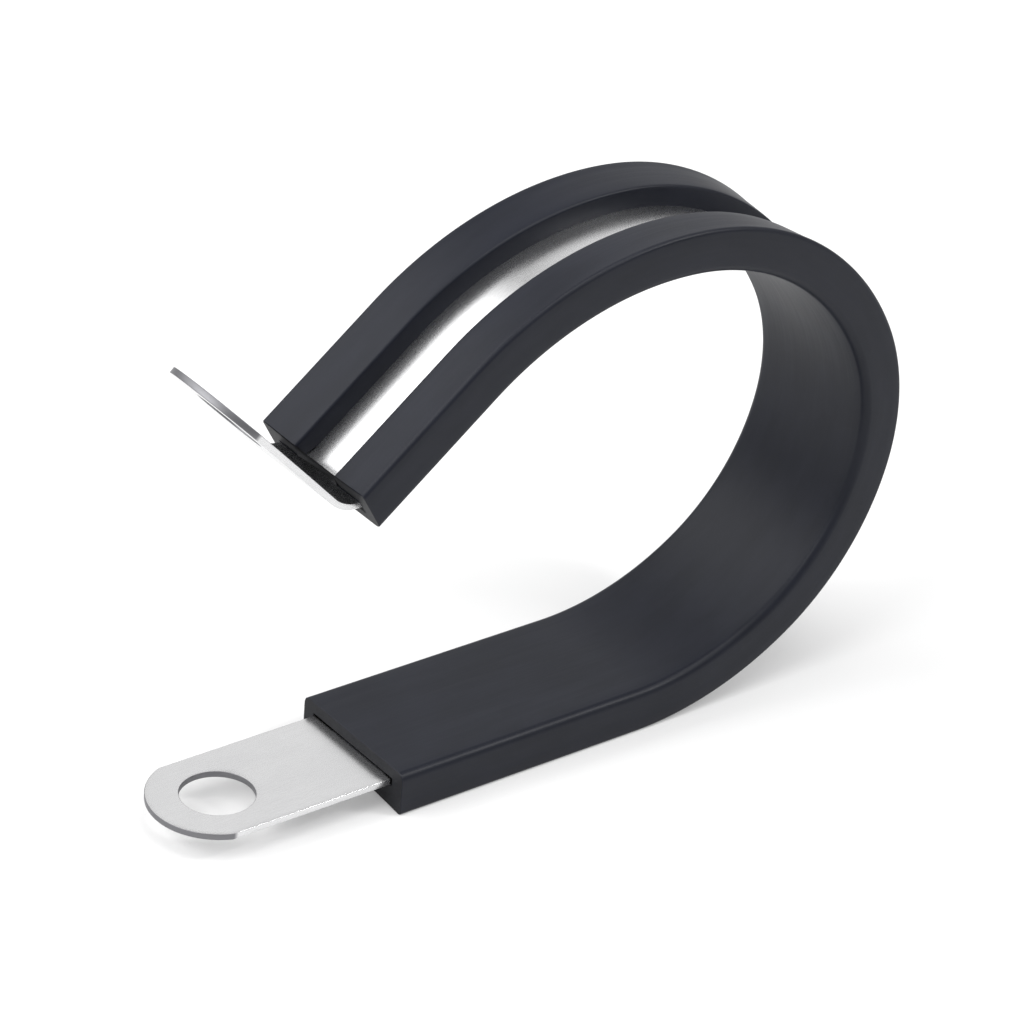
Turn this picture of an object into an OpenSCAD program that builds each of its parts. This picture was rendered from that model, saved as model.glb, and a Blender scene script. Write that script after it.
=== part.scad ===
// P clip for a cable or hose: one steel strip with a hole in each end, bent into
// a loop that has sprung open, and a rubber lining folded over both of its edges.
// Millimetres, +Z up. The origin is the centre of the hole in the lower tab, on
// the tab's lower face. X runs along the lower leg towards the loop, and Y is
// the direction of the loop's axis. The clip lies on the lips of its lower leg.

/* [Strip] */
// Width of the steel strip
strip_w = 12; // [10:0.5:16]
// Thickness of the steel strip
strip_t = 0.6; // [0.4:0.1:1]
// Diameter of the screw hole in each tab
hole_d = 6.8; // [4.4:0.2:8.4]
// How much the radius of a tab's round end exceeds half of the strip's width
tab_end_extra = 0.4; // [0.1:0.1:1]
// Length of the bare lower tab, from its hole to the lining
lower_tab_l = 14.4; // [10:0.2:20]
// Length of the bare upper tab, from its hole to the bend
upper_tab_l = 9.6; // [8:0.2:16]
// Angle that the upper tab is bent away from its leg
bend_angle = 85; // [60:1:95]
// Radius on the hollow side of that bend
bend_r = 3.2; // [2:0.1:4]
// How far inside the lining's upper end the bend starts
bend_setback = 2; // [1:0.1:2.4]

/* [Loop] */
// Straight length of the lower leg inside the lining
lower_leg_l = 26.5; // [20:0.5:36]
// Straight length of the upper leg inside the lining
upper_leg_l = 14.6; // [8:0.2:20]
// Radius of the strip's outer face where the loop leaves the lower leg
rise_r = 28.8; // [24:0.2:36]
// Angle of that part
rise_angle = 34; // [26:1:40]
// Radius of the lower back of the loop
low_back_r = 22.8; // [20:0.2:30]
// Angle of that part
low_back_angle = 42.5; // [34:0.5:48]
// Radius of the upper back of the loop, its tightest part
high_back_r = 19.4; // [18:0.2:28]
// Angle of that part
high_back_angle = 42; // [34:0.5:48]
// Radius of the top of the loop
top_r = 26.3; // [22:0.1:34]
// Angle of that part
top_angle = 57.5; // [48:0.5:62]
// Radius where the loop runs into the upper leg
fall_r = 32.4; // [26:0.2:44]
// Angle of that part
fall_angle = 42.5; // [34:0.5:48]

/* [Lining] */
// Thickness of the lining on the inside of the loop
wall_t = 1.2; // [0.8:0.1:2.5]
// Thickness of the lining beside each edge of the strip
side_t = 1.6; // [1:0.1:3]
// Width of each lip, from the lining's side to the lip's free edge
lip_w = 4.8; // [3.6:0.1:5.6]
// Thickness of a lip at the side
lip_root_t = 2.4; // [1.6:0.1:3.2]
// Thickness of a lip at its free edge
lip_tip_t = 2; // [1.2:0.1:3]
// Radius of the lining's edges on the inside of the loop
inner_edge_r = 0.8; // [0.3:0.1:1]
// Radius of the lining's edges on the outside of the loop
outer_edge_r = 0.4; // [0.1:0.1:0.8]
// Radius of the lips' free edges
tip_edge_r = 0.3; // [0.1:0.05:0.6]
// How far the cut at the lining's upper end leans out of square, seen from the side
end_lean_angle = 9.5; // [0:0.5:12]

/* [Fits] */
// Clearance between each edge of the strip and the lining
side_gap = 0.1; // [0.05:0.05:0.3]
// Clearance between the strip and the inside wall of the lining
wall_gap = 0.1; // [0.05:0.05:0.3]

/* [Hidden] */
$fn = 96;
// Angle by which a curved stretch runs into the next one
lap_angle = 0.002;

// Angle next to a, within 0.02 degrees, whose sine and cosine are both whole millionths.
// Turns by such angles carry no rounding, so each stretch meets the next without a step.
function miss(s) = let (c = 1e6 * sqrt(1 - s * s)) abs(c - round(c));
function clean(a) = a > 45 ? 90 - clean(90 - a) :
    let (s = round(1e6 * sin(a)), misses = [for (k = [-250:250]) miss((s + k) / 1e6)])
    asin((s + search(min(misses), misses)[0] - 250) / 1e6);
turn_angle = clean(bend_angle);

// Parts of the loop in order, each as radius of the strip's outer face and angle
loop = [[rise_r, clean(rise_angle)], [low_back_r, clean(low_back_angle)], [high_back_r, clean(high_back_angle)],
        [top_r, clean(top_angle)], [fall_r, clean(fall_angle)]];
tab_end_r = strip_w / 2 + tab_end_extra;
slot_w = strip_w + 2 * side_gap;
slot_h = strip_t + wall_gap;
lining_w = slot_w + 2 * side_t;
lining_top = slot_h + wall_t;
tip_x = lining_w / 2 - lip_w;
// Height of a lip's sloping outer face at a distance from the middle
function lip_face(x) = -lip_tip_t - (lip_root_t - lip_tip_t) * (x - tip_x) / lip_w;
// Points of a rounded corner: centre, radius, first and last angle, steps
function corner(c, r, a0, a1, n) =
    [for (i = [0:n]) c + r * [cos(a0 + (a1 - a0) * i / n), sin(a0 + (a1 - a0) * i / n)]];
lip_slope_angle = atan((lip_root_t - lip_tip_t) / lip_w);
// One half of the lining's outline, from the slot's floor round the lip to the inside wall
half_lining = concat(
    [[slot_w / 2, slot_h], [slot_w / 2, 0], [tip_x, 0]],
    corner([tip_x + tip_edge_r, lip_face(tip_x) + tip_edge_r], tip_edge_r, 180, 270 - lip_slope_angle, 3),
    corner([lining_w / 2 - outer_edge_r, -lip_root_t + outer_edge_r], outer_edge_r,
        270 - lip_slope_angle, 360, 4),
    corner([lining_w / 2 - inner_edge_r, lining_top - inner_edge_r], inner_edge_r, 0, 90, 6));
other_half = [for (i = [len(half_lining) - 1:-1:0]) [-half_lining[i][0], half_lining[i][1]]];

// The next stretch of the strip: straight, curving inwards, or bent outwards
module past_line(l) translate([l, 0, 0]) children();
module past_arc(r, a) translate([0, 0, r]) rotate([0, -a, 0]) translate([0, 0, -r]) children();
module past_bend(r, a) translate([0, 0, -r]) rotate([0, a, 0]) translate([0, 0, r]) children();

// Sweeps of a cross-section, drawn with X across the strip and Y towards the loop's inside.
// A curved one runs a hair into the next stretch, so that the two join.
module line(l) rotate([90, 0, 90]) linear_extrude(l) children();
module arc(r, a)
    translate([0, 0, r]) rotate([90, 90, 0]) rotate_extrude(angle = a + lap_angle)
        translate([r, 0]) rotate(90) children();
module bend(r, a)
    translate([0, 0, -r]) rotate([90, -90, 180]) rotate_extrude(angle = a + lap_angle)
        translate([r, 0]) rotate(-90) children();

// The loop, from the end of the lower leg on
module loop_run(i = 0) {
    if (i < len(loop)) {
        arc(loop[i][0], loop[i][1]) children();
        past_arc(loop[i][0], loop[i][1]) loop_run(i + 1) children();
    }
}
module past_loop(i = 0) {
    if (i < len(loop)) past_arc(loop[i][0], loop[i][1]) past_loop(i + 1) children();
    else children();
}

// Bare end of the strip, with its hole at the origin and its body towards +X
module tab(l)
    difference() {
        union() {
            intersection() {
                cylinder(r = tab_end_r, h = strip_t);
                translate([-tab_end_r - 1, -strip_w / 2, -1])
                    cube([tab_end_r + 2, strip_w, strip_t + 2]);
            }
            translate([0, -strip_w / 2, 0]) cube([l, strip_w, strip_t]);
        }
        translate([0, 0, -1]) cylinder(d = hole_d, h = strip_t + 2);
    }

module strip_section(side = 0, face = 0)
    translate([-strip_w / 2 - side, -face]) square([strip_w + 2 * side, strip_t + 2 * face]);

module lining_section() polygon(concat(half_lining, other_half));

module strip()
    color([0.76, 0.77, 0.78]) {
        tab(lower_tab_l + lower_leg_l);
        past_line(lower_tab_l + lower_leg_l) {
            loop_run() strip_section();
            past_loop() {
                line(upper_leg_l - bend_setback) strip_section();
                past_line(upper_leg_l - bend_setback) {
                    bend(bend_r, turn_angle) strip_section();
                    past_bend(bend_r, turn_angle)
                        translate([upper_tab_l, 0, 0]) mirror([1, 0, 0]) tab(upper_tab_l);
                }
            }
        }
    }

module lining()
    color([0.15, 0.16, 0.19])
        difference() {
            past_line(lower_tab_l) {
                line(lower_leg_l) lining_section();
                past_line(lower_leg_l) {
                    loop_run() lining_section();
                    past_loop() line(upper_leg_l + lining_top) lining_section();
                }
            }
            past_line(lower_tab_l + lower_leg_l) past_loop() {
                // The cut at the upper end
                past_line(upper_leg_l) rotate([0, end_lean_angle, 0])
                    translate([0, -lining_w, -lining_w]) cube([lining_w, 2 * lining_w, 2 * lining_w]);
                // Room for the start of the strip's bend between the lips
                past_line(upper_leg_l - bend_setback) bend(bend_r, turn_angle)
                    strip_section(side_gap, wall_gap);
            }
        }

strip();
lining();
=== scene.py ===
"""Looks for the P clip: its steel strip and rubber lining, swept along the route of the solids."""

import math

import bmesh
import bpy
from mathutils import Matrix, Vector


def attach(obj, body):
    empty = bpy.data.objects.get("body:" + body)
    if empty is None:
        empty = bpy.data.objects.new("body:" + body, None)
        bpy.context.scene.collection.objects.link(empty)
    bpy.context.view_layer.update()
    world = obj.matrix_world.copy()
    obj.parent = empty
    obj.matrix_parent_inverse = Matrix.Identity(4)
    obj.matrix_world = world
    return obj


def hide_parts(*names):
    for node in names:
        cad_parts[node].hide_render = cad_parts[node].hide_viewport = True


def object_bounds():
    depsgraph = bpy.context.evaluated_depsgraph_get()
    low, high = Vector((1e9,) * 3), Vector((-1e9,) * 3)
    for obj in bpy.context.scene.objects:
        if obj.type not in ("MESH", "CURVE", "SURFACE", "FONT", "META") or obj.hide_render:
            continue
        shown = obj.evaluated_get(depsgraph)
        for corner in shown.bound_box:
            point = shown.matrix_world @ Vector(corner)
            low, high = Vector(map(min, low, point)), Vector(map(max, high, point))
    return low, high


MM = 0.001
LITTLE = 1e-9   # slack, in millimetres, when distances along the strip are compared

# Strip, in millimetres, as the solids have it
STRIP_W, STRIP_T, HOLE_R = 12.0, 0.6, 3.4
TAB_END_R = STRIP_W / 2 + 0.4
LOWER_TAB, LOWER_LEG, UPPER_LEG, UPPER_TAB = 14.4, 26.5, 14.6, 9.6
BEND_R, BEND_ANGLE, BEND_SETBACK = 3.2, 85.0, 2.0
# Radius of the strip's outer face and angle, for each part of the loop in order
LOOP = [(28.8, 34.0), (22.8, 42.5), (19.4, 42.0), (26.3, 57.5), (32.4, 42.5)]

# Lining
SIDE_GAP, WALL_GAP, WALL_T, SIDE_T = 0.1, 0.1, 1.2, 1.6
LIP_W, LIP_ROOT, LIP_TIP = 4.8, 2.4, 2.0
INNER_EDGE_R, OUTER_EDGE_R, TIP_EDGE_R = 0.8, 0.4, 0.3
END_LEAN = math.radians(9.5)
SLOT_HALF = STRIP_W / 2 + SIDE_GAP
SLOT_TOP = STRIP_T + WALL_GAP
HALF_W = SLOT_HALF + SIDE_T
TOP = SLOT_TOP + WALL_T
TIP_Y = HALF_W - LIP_W

# Meshes
EDGE_R = 0.06            # rolled-over edge of the strip
END_EDGE = 0.07          # softened edge of the lining's cut ends
TAB_JOIN = 8.0           # distance from a hole's centre at which its tab's mesh ends
TAB_SIDE_STEPS, TAB_END_STEPS, TAB_RINGS = 14, 40, 6
FACE_COLUMNS = 14        # strips of faces across the strip
RUN_STEP, BEND_STEP, LEG_STEP = 0.55, 0.16, 0.4
ROUTE_SPARE = 1.0        # length by which the route runs on past the upper tab
MERGE_DISTANCE = 5e-7    # metres
SHARP_ANGLE = math.radians(38)

# Camera: what it aims at, its direction, roll, distance and lens
AIM = Vector((30.0, 0.0, 15.3)) * MM
AZIMUTH, ELEVATION, ROLL = math.radians(-38.858), math.radians(30.054), math.radians(4.526)
DISTANCE, SIDE_SHIFT, UP_SHIFT = 385.73 * MM, 0.785 * MM, 4.391 * MM
LENS, SENSOR = 151.2, 36.0

# Lights: azimuth and elevation in degrees, width and height in metres, and power
LIGHT_DISTANCE = 0.60
LIGHTS = {
    "behind_left": (215, 42, (0.50, 0.50), 1.55),
    "backdrop": (134, 32, (0.56, 0.44), 0.50),
    "left": (-92, 40, (0.45, 0.30), 2.4),
    "overhead": (20, 78, (0.40, 0.40), 1.6),
    "edge": (47, 42, (0.12, 0.10), 1.1),
}
WORLD_STRENGTH = 0.38
FLOOR_HALF = 3.0

# Colours
STEEL_DARK, STEEL_LIGHT = (0.66, 0.66, 0.665), (0.74, 0.74, 0.745)
# STEEL_CUT_AND_SHADE darkens the punched ends and hole walls: partly their own duller cut tone,
# partly painted shade standing in for the dark reflection these edges catch
STEEL_CLOUD, STEEL_CUT_AND_SHADE = (0.6, 0.6, 0.61), (0.2, 0.2, 0.21)
RUBBER_DARK, RUBBER_LIGHT = (0.0045, 0.0058, 0.0115), (0.007, 0.0085, 0.0155)
RUBBER_STREAK, RUBBER_CUT = (0.0105, 0.012, 0.019), (0.006, 0.0062, 0.007)

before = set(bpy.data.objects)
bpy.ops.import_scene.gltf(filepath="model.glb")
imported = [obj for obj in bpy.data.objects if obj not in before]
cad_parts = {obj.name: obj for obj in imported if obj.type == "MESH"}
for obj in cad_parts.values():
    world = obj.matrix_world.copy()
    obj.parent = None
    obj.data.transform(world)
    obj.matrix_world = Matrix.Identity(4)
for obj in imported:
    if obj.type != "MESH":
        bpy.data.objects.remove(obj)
cad_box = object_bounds()


# ---- The route that the strip follows ----

def stretches():
    """Every stretch as (length, curvature) of the outer face, turning inwards when positive."""
    run = [(TAB_END_R + LOWER_TAB + LOWER_LEG, 0.0)]
    run += [(r * math.radians(a), 1 / r) for r, a in LOOP]
    run += [(UPPER_LEG - BEND_SETBACK, 0.0), (BEND_R * math.radians(BEND_ANGLE), -1 / BEND_R)]
    return run + [(UPPER_TAB + TAB_END_R + ROUTE_SPARE, 0.0)]


def moved(x, z, a, k, length):
    """Place and heading after a length of the route that has curvature k."""
    if not k:
        return x + length * math.cos(a), z + length * math.sin(a), a
    b = a + length * k
    return x + (math.sin(b) - math.sin(a)) / k, z - (math.cos(b) - math.cos(a)) / k, b


def stations():
    """The start of every stretch: distance, place, heading and curvature."""
    s, x, z, a, found = -TAB_END_R, -TAB_END_R, 0.0, 0.0, []
    for length, k in stretches():
        found.append((s, x, z, a, k))
        x, z, a = moved(x, z, a, k, length)
        s += length
    return found


STATIONS = stations()
LOOP_END = LOWER_TAB + LOWER_LEG + sum(r * math.radians(a) for r, a in LOOP)
BEND_START = LOOP_END + UPPER_LEG - BEND_SETBACK
BEND_END = BEND_START + BEND_R * math.radians(BEND_ANGLE)
UPPER_HOLE = BEND_END + UPPER_TAB
LINING_END = LOOP_END + UPPER_LEG


def placed(s, y, z, straight_from):
    """The point at distance s along the route, y across it and z inwards from its outer face.

    Past straight_from, which lies on a straight stretch, the route runs straight on.
    """
    s0, *start = [st for st in STATIONS if st[0] <= min(s, straight_from) + LITTLE][-1]
    x, h, a = moved(*start, s - s0)
    return Vector((x - z * math.sin(a), y, h + z * math.cos(a))) * MM


def steps(start, end, size):
    n = max(1, round((end - start) / size))
    return [start + (end - start) * i / n for i in range(n + 1)]


def through(marks):
    """Distances from the first mark to the last by way of each, closer together in the bend."""
    rows = [marks[0]]
    for a, b in zip(marks, marks[1:]):
        in_bend = BEND_START <= a + LITTLE < BEND_END
        rows += steps(a, b, BEND_STEP if in_bend else RUN_STEP)[1:]
    return rows


class Skin:
    """A piece's points, each with its place on the flat blank, and the faces between them."""

    def __init__(self, straight_from=math.inf):
        self.bm = bmesh.new()
        self.blank = self.bm.verts.layers.float_vector.new("blank")
        self.punched = self.bm.verts.layers.float.new("punched")
        self.straight_from = straight_from

    def point(self, s, y, z, punched=0.0):
        v = self.bm.verts.new(placed(s, y, z, self.straight_from))
        v[self.blank] = Vector((s, y, z))
        v[self.punched] = punched
        return v

    def bridge(self, rows, closed=True):
        """Fills the space between each row of points and the next."""
        for a, b in zip(rows, rows[1:]):
            for i in range(len(a) if closed else len(a) - 1):
                j = (i + 1) % len(a)
                self.bm.faces.new((a[i], a[j], b[j], b[i]))

    def finish(self, name, node):
        """Makes the smooth piece, with sharp edges kept, that stands for a CAD node."""
        bm = self.bm
        bmesh.ops.remove_doubles(bm, verts=bm.verts, dist=MERGE_DISTANCE)
        bmesh.ops.recalc_face_normals(bm, faces=bm.faces)
        bm.normal_update()
        for f in bm.faces:
            f.smooth = True
        for e in bm.edges:
            if len(e.link_faces) == 2 and e.calc_face_angle() > SHARP_ANGLE:
                e.smooth = False
        mesh = bpy.data.meshes.new(name)
        bm.to_mesh(mesh)
        bm.free()
        piece = bpy.data.objects.new(name, mesh)
        bpy.context.scene.collection.objects.link(piece)
        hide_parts(node)
        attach(piece, "root")
        return piece


# ---- Strip: a flat blank with two holes, bent along the route ----

# (inset, depth) of the rolled edge, from the flat face to the wall
RIM = [(EDGE_R * (1 - math.sin(math.radians(a))), EDGE_R * (1 - math.cos(math.radians(a))))
       for a in (0, 30, 60, 90)]
COLUMNS = [-(STRIP_W / 2 - EDGE_R) + (STRIP_W - 2 * EDGE_R) * i / FACE_COLUMNS
           for i in range(FACE_COLUMNS + 1)]


def rim_profile():
    """(inset, height) round the edge of the blank, from its inner face to its outer face."""
    top = [(i, STRIP_T - d) for i, d in RIM]
    return top + [(i, d) for i, d in reversed(RIM)]


def cut(inset_by, punched=1.0):
    """The punched mark of an edge point: none on the line where the edge meets the flat face."""
    return punched if inset_by < EDGE_R * 0.9 else 0.0


def strip_loop():
    """The strip's cross-section as (y, z), once round."""
    half = STRIP_W / 2
    right = [(half - i, z) for i, z in rim_profile()]
    left = [(-half + i, z) for i, z in reversed(rim_profile())]
    return ([(y, STRIP_T) for y in COLUMNS[:-1]] + right
            + [(y, 0.0) for y in reversed(COLUMNS[1:-1])] + left[:-1])


def strip_run(skin, start, end):
    """The strip between its two tabs."""
    marks = sorted({start, end} | {st[0] for st in STATIONS if start < st[0] < end})
    loop = strip_loop()
    skin.bridge([[skin.point(s, y, z) for y, z in loop] for s in through(marks)])


def tab_outline():
    """Free edge of a tab: ((u, y), outward normal, punched), from one side round the end."""
    half = STRIP_W / 2
    corner = math.sqrt(TAB_END_R ** 2 - half ** 2)
    side = [((TAB_JOIN + (-corner - TAB_JOIN) * i / TAB_SIDE_STEPS, -half), (0.0, -1.0), 0.0)
            for i in range(TAB_SIDE_STEPS)]
    first = math.atan2(-half, -corner)
    last = -2 * math.pi - first
    arc = []
    for i in range(TAB_END_STEPS + 1):
        t = first + (last - first) * i / TAB_END_STEPS
        n = (math.cos(t), math.sin(t))
        if i in (0, TAB_END_STEPS):  # halfway between the end's normal and the side's
            n = (n[0] * 0.5, (n[1] + math.copysign(1, n[1])) / 2)
            length = math.hypot(*n)
            n = (n[0] / length, n[1] / length)
        arc.append(((TAB_END_R * math.cos(t), TAB_END_R * math.sin(t)), n, 1.0))
    other = [((u, -y), (0.0, 1.0), 0.0) for (u, y), _, _ in reversed(side)]
    return side + arc + other


def tab(skin, hole_s, sign):
    """A tab round its hole; sign is +1 when the strip runs on towards larger distances."""
    outline = tab_outline()
    profile = rim_profile()

    def at(u, y, z, punched=0.0):
        return skin.point(hole_s + sign * u, y, z, punched)

    skin.bridge([[at(u - n[0] * i, y - n[1] * i, z, cut(i, punched))
                  for (u, y), n, punched in outline] for i, z in profile], closed=False)
    edge = [(u - n[0] * EDGE_R, y - n[1] * EDGE_R) for (u, y), n, _ in outline]
    loop = edge + [(TAB_JOIN, y) for y in reversed(COLUMNS[1:-1])]
    angles = [math.atan2(y, u) for u, y in loop]
    skin.bridge([[at((HOLE_R + i) * math.cos(t), (HOLE_R + i) * math.sin(t), z, cut(i))
                  for t in angles] for i, z in profile])
    r = HOLE_R + EDGE_R
    for z in (STRIP_T, 0.0):
        rings = []
        for j in range(TAB_RINGS + 1):
            f = j / TAB_RINGS
            rings.append([at(u * f + r * math.cos(t) * (1 - f), y * f + r * math.sin(t) * (1 - f), z)
                          for (u, y), t in zip(loop, angles)])
        skin.bridge(rings)


def build_strip():
    skin = Skin()
    tab(skin, 0.0, 1)
    strip_run(skin, TAB_JOIN, UPPER_HOLE - TAB_JOIN)
    tab(skin, UPPER_HOLE, -1)
    return skin.finish("steel_strip", "strip")


# ---- Lining: a folded channel swept along the same route ----

RECESS_FROM, RECESS_REACH = 0.05, 2.3   # distances past the bend's start
NEAR = 0.01


def corner(c, r, a0, a1, n):
    return [(c[0] + r * math.cos(math.radians(a0 + (a1 - a0) * i / n)),
             c[1] + r * math.sin(math.radians(a0 + (a1 - a0) * i / n))) for i in range(n + 1)]


def lip_face(y):
    """Height of the lips' outer face, which slopes from the root to the tip."""
    return -LIP_TIP - (LIP_ROOT - LIP_TIP) * (y - TIP_Y) / LIP_W


def lining_loop():
    """The lining's cross-section as (y, z), once round, with the slot open between the lips."""
    slope = math.degrees(math.atan2(LIP_ROOT - LIP_TIP, LIP_W))
    half = [(SLOT_HALF * i / 6, SLOT_TOP) for i in range(1, 7)]
    half += [(SLOT_HALF + (TIP_Y - SLOT_HALF) * i / 5, 0.0) for i in range(6)]
    half += corner((TIP_Y + TIP_EDGE_R, lip_face(TIP_Y) + TIP_EDGE_R), TIP_EDGE_R,
                   180, 270 - slope, 5)
    y0, y1 = TIP_Y + 2 * TIP_EDGE_R, HALF_W - 1.5 * OUTER_EDGE_R
    lip = [y0 + (y1 - y0) * i / 5 for i in range(6)]
    half += [(y, lip_face(y)) for y in lip]
    half += corner((HALF_W - OUTER_EDGE_R, -LIP_ROOT + OUTER_EDGE_R), OUTER_EDGE_R, 272, 360, 5)
    z0, z1 = -LIP_ROOT + OUTER_EDGE_R, TOP - INNER_EDGE_R
    half += [(HALF_W, z0 + (z1 - z0) * i / 4) for i in range(1, 4)]
    half += corner((HALF_W - INNER_EDGE_R, TOP - INNER_EDGE_R), INNER_EDGE_R, 0, 90, 8)
    half += [((HALF_W - INNER_EDGE_R) * (1 - i / 7), TOP) for i in range(1, 7)]
    mirrored = [(-y, z) for y, z in reversed(half)]
    return half + [(0.0, TOP)] + mirrored + [(0.0, SLOT_TOP)]


def inset(loop, d):
    """The outline moved into the rubber by d, and by at most twice that at a sharp corner."""
    out = []
    for i, (y1, z1) in enumerate(loop):
        (y0, z0), (y2, z2) = loop[i - 1], loop[(i + 1) % len(loop)]
        a = Vector((y1 - y0, z1 - z0)).normalized()
        b = Vector((y2 - y1, z2 - z1)).normalized()
        m = Vector((a.y + b.y, -a.x - b.x)).normalized()
        scale = d / max(0.5, m.dot(Vector((a.y, -a.x))))
        out.append((y1 - m.x * scale, z1 - m.y * scale))
    return out


def recess(s):
    """How far the bend pushes the inner faces of the lips outwards."""
    x = max(0.0, s - BEND_START)
    depth = BEND_R - math.sqrt(BEND_R ** 2 - min(x, RECESS_REACH) ** 2)
    return depth + (WALL_GAP if x > RECESS_FROM else 0.0)


def lining_ring(skin, s, outline, lean=0.0, punched=0.0):
    """One section of the lining, leaning by a share of the end's slant."""
    row = []
    for y, z in outline:
        along = s + lean * z * math.tan(END_LEAN)
        on_lip = TIP_Y - NEAR < abs(y) <= SLOT_HALF + NEAR and -0.5 < z < 0.2
        row.append(skin.point(along, y, z - recess(along) if on_lip else z, punched))
    return row


def build_lining():
    skin = Skin(straight_from=BEND_START - NEAR)
    loop = lining_loop()
    inner = inset(loop, END_EDGE)
    arcs = [st[0] for st in STATIONS[1:1 + len(LOOP)]]
    rows = [lining_ring(skin, LOWER_TAB, inner, punched=1.0)]
    rows += [lining_ring(skin, s, loop) for s in through([LOWER_TAB + END_EDGE] + arcs + [LOOP_END])]
    leg_end = LINING_END - END_EDGE
    for s in steps(LOOP_END, leg_end, LEG_STEP)[1:]:
        rows.append(lining_ring(skin, s, loop, lean=(s - LOOP_END) / (leg_end - LOOP_END)))
    rows.append(lining_ring(skin, LINING_END, inner, lean=1.0, punched=1.0))
    skin.bridge(rows)
    caps = [skin.bm.faces.new(rows[0]), skin.bm.faces.new(list(reversed(rows[-1])))]
    bmesh.ops.triangulate(skin.bm, faces=caps, ngon_method="EAR_CLIP")
    return skin.finish("rubber_lining", "lining")


# ---- Materials ----

class Nodes:
    """Short hand for a material's node tree."""

    def __init__(self, name):
        self.material = bpy.data.materials.new(name)
        self.material.use_nodes = True
        self.tree = self.material.node_tree
        self.shader = self.tree.nodes["Principled BSDF"]

    def add(self, kind, **values):
        node = self.tree.nodes.new(kind)
        for key, value in values.items():
            if key in node.inputs:
                node.inputs[key].default_value = value
            else:
                setattr(node, key, value)
        return node

    def link(self, a, b):
        self.tree.links.new(a, b)

    def set(self, **values):
        """Sets constants on the shader, with _ for each space in a socket's name."""
        for key, value in values.items():
            self.shader.inputs[key.replace("_", " ")].default_value = value

    def attribute(self, name):
        return self.add("ShaderNodeAttribute", attribute_name=name)

    def stretched(self, scale):
        """Distances along the strip, across it and through it, in millimetres, times scale."""
        node = self.add("ShaderNodeVectorMath", operation="MULTIPLY")
        self.link(self.attribute("blank").outputs["Vector"], node.inputs[0])
        node.inputs[1].default_value = scale
        return node.outputs[0]

    def noise(self, stretch, scale, detail=4.0, rough=0.55):
        node = self.add("ShaderNodeTexNoise", Scale=scale, Detail=detail, Roughness=rough)
        self.link(self.stretched(stretch), node.inputs["Vector"])
        return node.outputs["Fac"]

    def ranged(self, value, given, wanted):
        """The value, clamped to the given range, carried over to the wanted range."""
        node = self.add("ShaderNodeMapRange")
        for i, v in enumerate((*given, *wanted), 1):
            node.inputs[i].default_value = v
        self.link(value, node.inputs[0])
        return node.outputs[0]

    def mixed(self, factor, a, b):
        node = self.add("ShaderNodeMix", data_type="RGBA")
        self.link(factor, node.inputs[0])
        for socket, value in ((node.inputs[6], a), (node.inputs[7], b)):
            if isinstance(value, tuple):
                socket.default_value = (*value, 1.0)
            else:
                self.link(value, socket)
        return node.outputs[2]

    def summed(self, a, b, operation="ADD"):
        node = self.add("ShaderNodeMath", operation=operation)
        for socket, value in zip(node.inputs, (a, b)):
            if isinstance(value, float):
                socket.default_value = value
            else:
                self.link(value, socket)
        return node.outputs[0]

    def bump(self, height, strength, distance):
        node = self.add("ShaderNodeBump", Strength=strength, Distance=distance)
        self.link(height, node.inputs["Height"])
        self.link(node.outputs[0], self.shader.inputs["Normal"])


def steel():
    """Satin steel: fine grain along the strip, faint clouds, and rougher punched edges painted dark,
    partly a duller cut tone and partly painted shade for their dark reflection.
    """
    m = Nodes("satin_steel")
    grain = m.noise((0.5, 14.0, 14.0), 1.6, 5.0, 0.6)
    speck = m.noise((6.0, 9.0, 9.0), 1.3, 3.0, 0.6)
    cloud = m.noise((0.12, 0.3, 0.3), 1.0, 2.0)
    punched = m.attribute("punched").outputs["Fac"]
    face = m.mixed(m.ranged(grain, (0.3, 0.7), (0.0, 1.0)), STEEL_DARK, STEEL_LIGHT)
    face = m.mixed(m.ranged(cloud, (0.35, 0.65), (0.0, 0.25)), face, STEEL_CLOUD)
    # punched ends and hole walls painted dark: partly a duller cut tone, partly painted shade for
    # their dark reflection
    color = m.mixed(m.ranged(punched, (0.3, 0.9), (0.0, 1.0)), face, STEEL_CUT_AND_SHADE)
    m.link(color, m.shader.inputs["Base Color"])
    rough = m.ranged(m.summed(grain, speck), (0.6, 1.4), (0.22, 0.32))
    rough = m.summed(rough, m.ranged(punched, (0.3, 0.9), (0.0, 0.22)))
    m.link(rough, m.shader.inputs["Roughness"])
    m.set(Metallic=1.0)
    m.bump(grain, 0.10, 0.01 * MM)
    return m.material


def rubber():
    """Extruded rubber: faint streaks along it, a fine skin, and duller cut ends."""
    m = Nodes("black_rubber")
    streak = m.noise((0.08, 3.0, 3.0), 1.2, 4.0)
    skin = m.noise((7.0, 7.0, 7.0), 1.5, 4.0, 0.6)
    cloud = m.noise((0.15, 0.4, 0.4), 1.0, 3.0)
    end = m.attribute("punched").outputs["Fac"]
    color = m.mixed(m.ranged(cloud, (0.35, 0.65), (0.0, 1.0)), RUBBER_DARK, RUBBER_LIGHT)
    color = m.mixed(m.ranged(streak, (0.55, 0.8), (0.0, 0.4)), color, RUBBER_STREAK)
    color = m.mixed(m.ranged(end, (0.5, 1.0), (0.0, 0.7)), color, RUBBER_CUT)
    m.link(color, m.shader.inputs["Base Color"])
    rough = m.ranged(m.summed(skin, streak), (0.7, 1.3), (0.40, 0.50))
    rough = m.summed(rough, m.ranged(end, (0.5, 1.0), (0.0, 0.15)))
    m.link(rough, m.shader.inputs["Roughness"])
    m.set(Specular_IOR_Level=0.25, Sheen_Weight=0.03, Sheen_Roughness=0.4)
    m.bump(m.summed(skin, m.summed(streak, 0.6, "MULTIPLY")), 0.22, 0.012 * MM)
    return m.material


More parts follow.
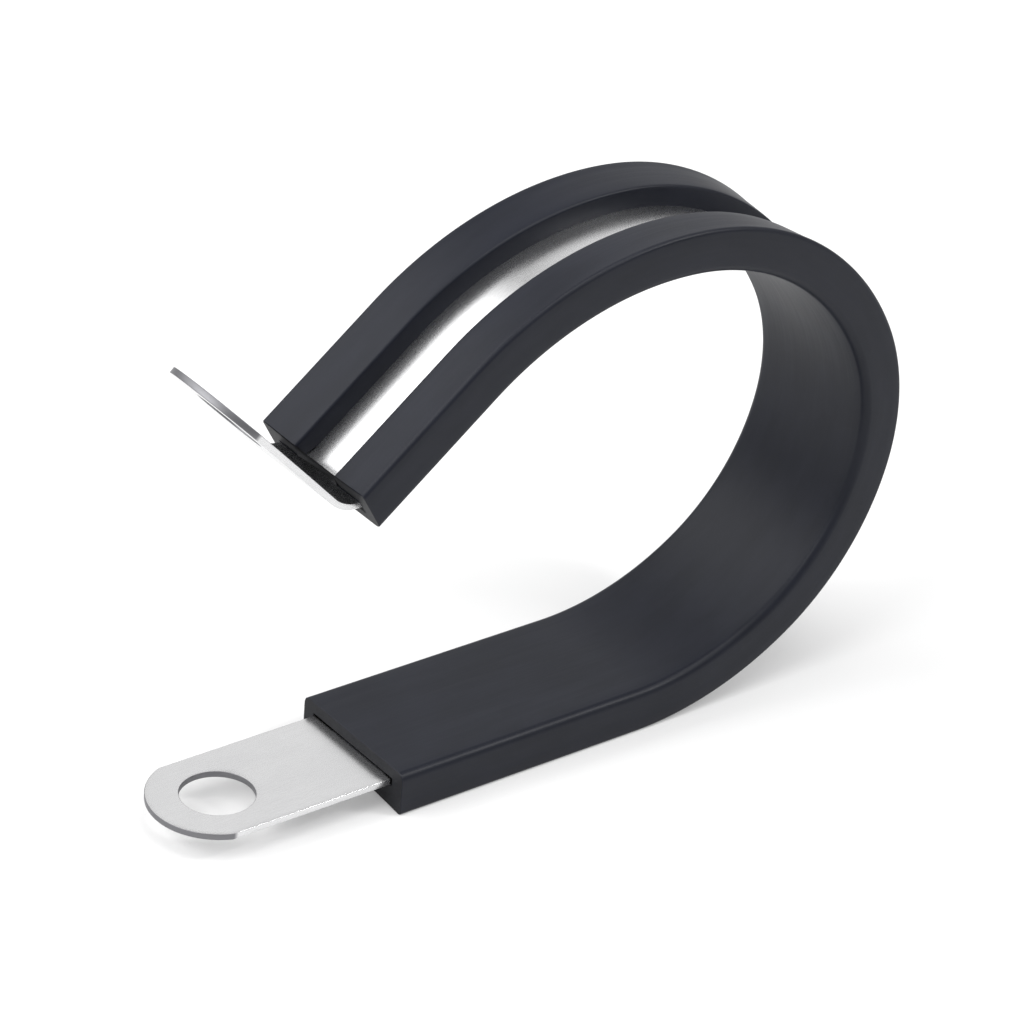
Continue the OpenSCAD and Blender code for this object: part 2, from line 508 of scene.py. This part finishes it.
def paper():
    m = Nodes("pale_floor")
    m.set(Base_Color=(0.62, 0.62, 0.62, 1.0), Roughness=0.9, Specular_IOR_Level=0.1,
          Emission_Color=(1.0, 1.0, 1.0, 1.0), Emission_Strength=0.24)
    return m.material


# ---- Stage ----

def make_floor(height):
    mesh = bpy.data.meshes.new("floor")
    r = FLOOR_HALF
    mesh.from_pydata([(-r, -r, height), (r, -r, height), (r, r, height), (-r, r, height)],
                     [], [(0, 1, 2, 3)])
    floor = bpy.data.objects.new("floor", mesh)
    bpy.context.scene.collection.objects.link(floor)
    mesh.materials.append(paper())


def axes(azimuth, elevation):
    """Right, up and back of something that looks at the object from that side."""
    back = Vector((math.sin(azimuth) * math.cos(elevation),
                   -math.cos(azimuth) * math.cos(elevation), math.sin(elevation)))
    right = Vector((math.cos(azimuth), math.sin(azimuth), 0.0))
    return right, back.cross(right), back


def stand(name, data, place, right, up, back):
    """Puts a lamp or camera at place, looking against back."""
    thing = bpy.data.objects.new(name, data)
    turn = Matrix((right, up, back)).transposed().to_4x4()
    thing.matrix_world = Matrix.Translation(place) @ turn
    bpy.context.scene.collection.objects.link(thing)
    return thing


def light_stage():
    for name, (azimuth, elevation, size, power) in LIGHTS.items():
        right, up, back = axes(math.radians(azimuth), math.radians(elevation))
        data = bpy.data.lights.new(name, "AREA")
        data.shape, data.size, data.size_y, data.energy = "RECTANGLE", size[0], size[1], power
        stand(name, data, AIM + back * LIGHT_DISTANCE, right, up, back)
    world = bpy.data.worlds.new("studio")
    bpy.context.scene.world = world
    world.use_nodes = True
    background = world.node_tree.nodes["Background"]
    background.inputs[0].default_value = (1.0, 1.0, 1.0, 1.0)
    background.inputs[1].default_value = WORLD_STRENGTH


def make_camera():
    right, up, back = axes(AZIMUTH, ELEVATION)
    turned_right = right * math.cos(ROLL) + up * math.sin(ROLL)
    turned_up = up * math.cos(ROLL) - right * math.sin(ROLL)
    data = bpy.data.cameras.new("camera")
    data.lens, data.sensor_width, data.clip_start, data.clip_end = LENS, SENSOR, 0.01, 20.0
    place = AIM + turned_right * SIDE_SHIFT + turned_up * UP_SHIFT + back * DISTANCE
    bpy.context.scene.camera = stand("camera", data, place, turned_right, turned_up, back)


build_strip().data.materials.append(steel())
build_lining().data.materials.append(rubber())
make_floor(cad_box[0][2])
light_stage()
make_camera()
bpy.context.scene.view_settings.view_transform = "Standard"
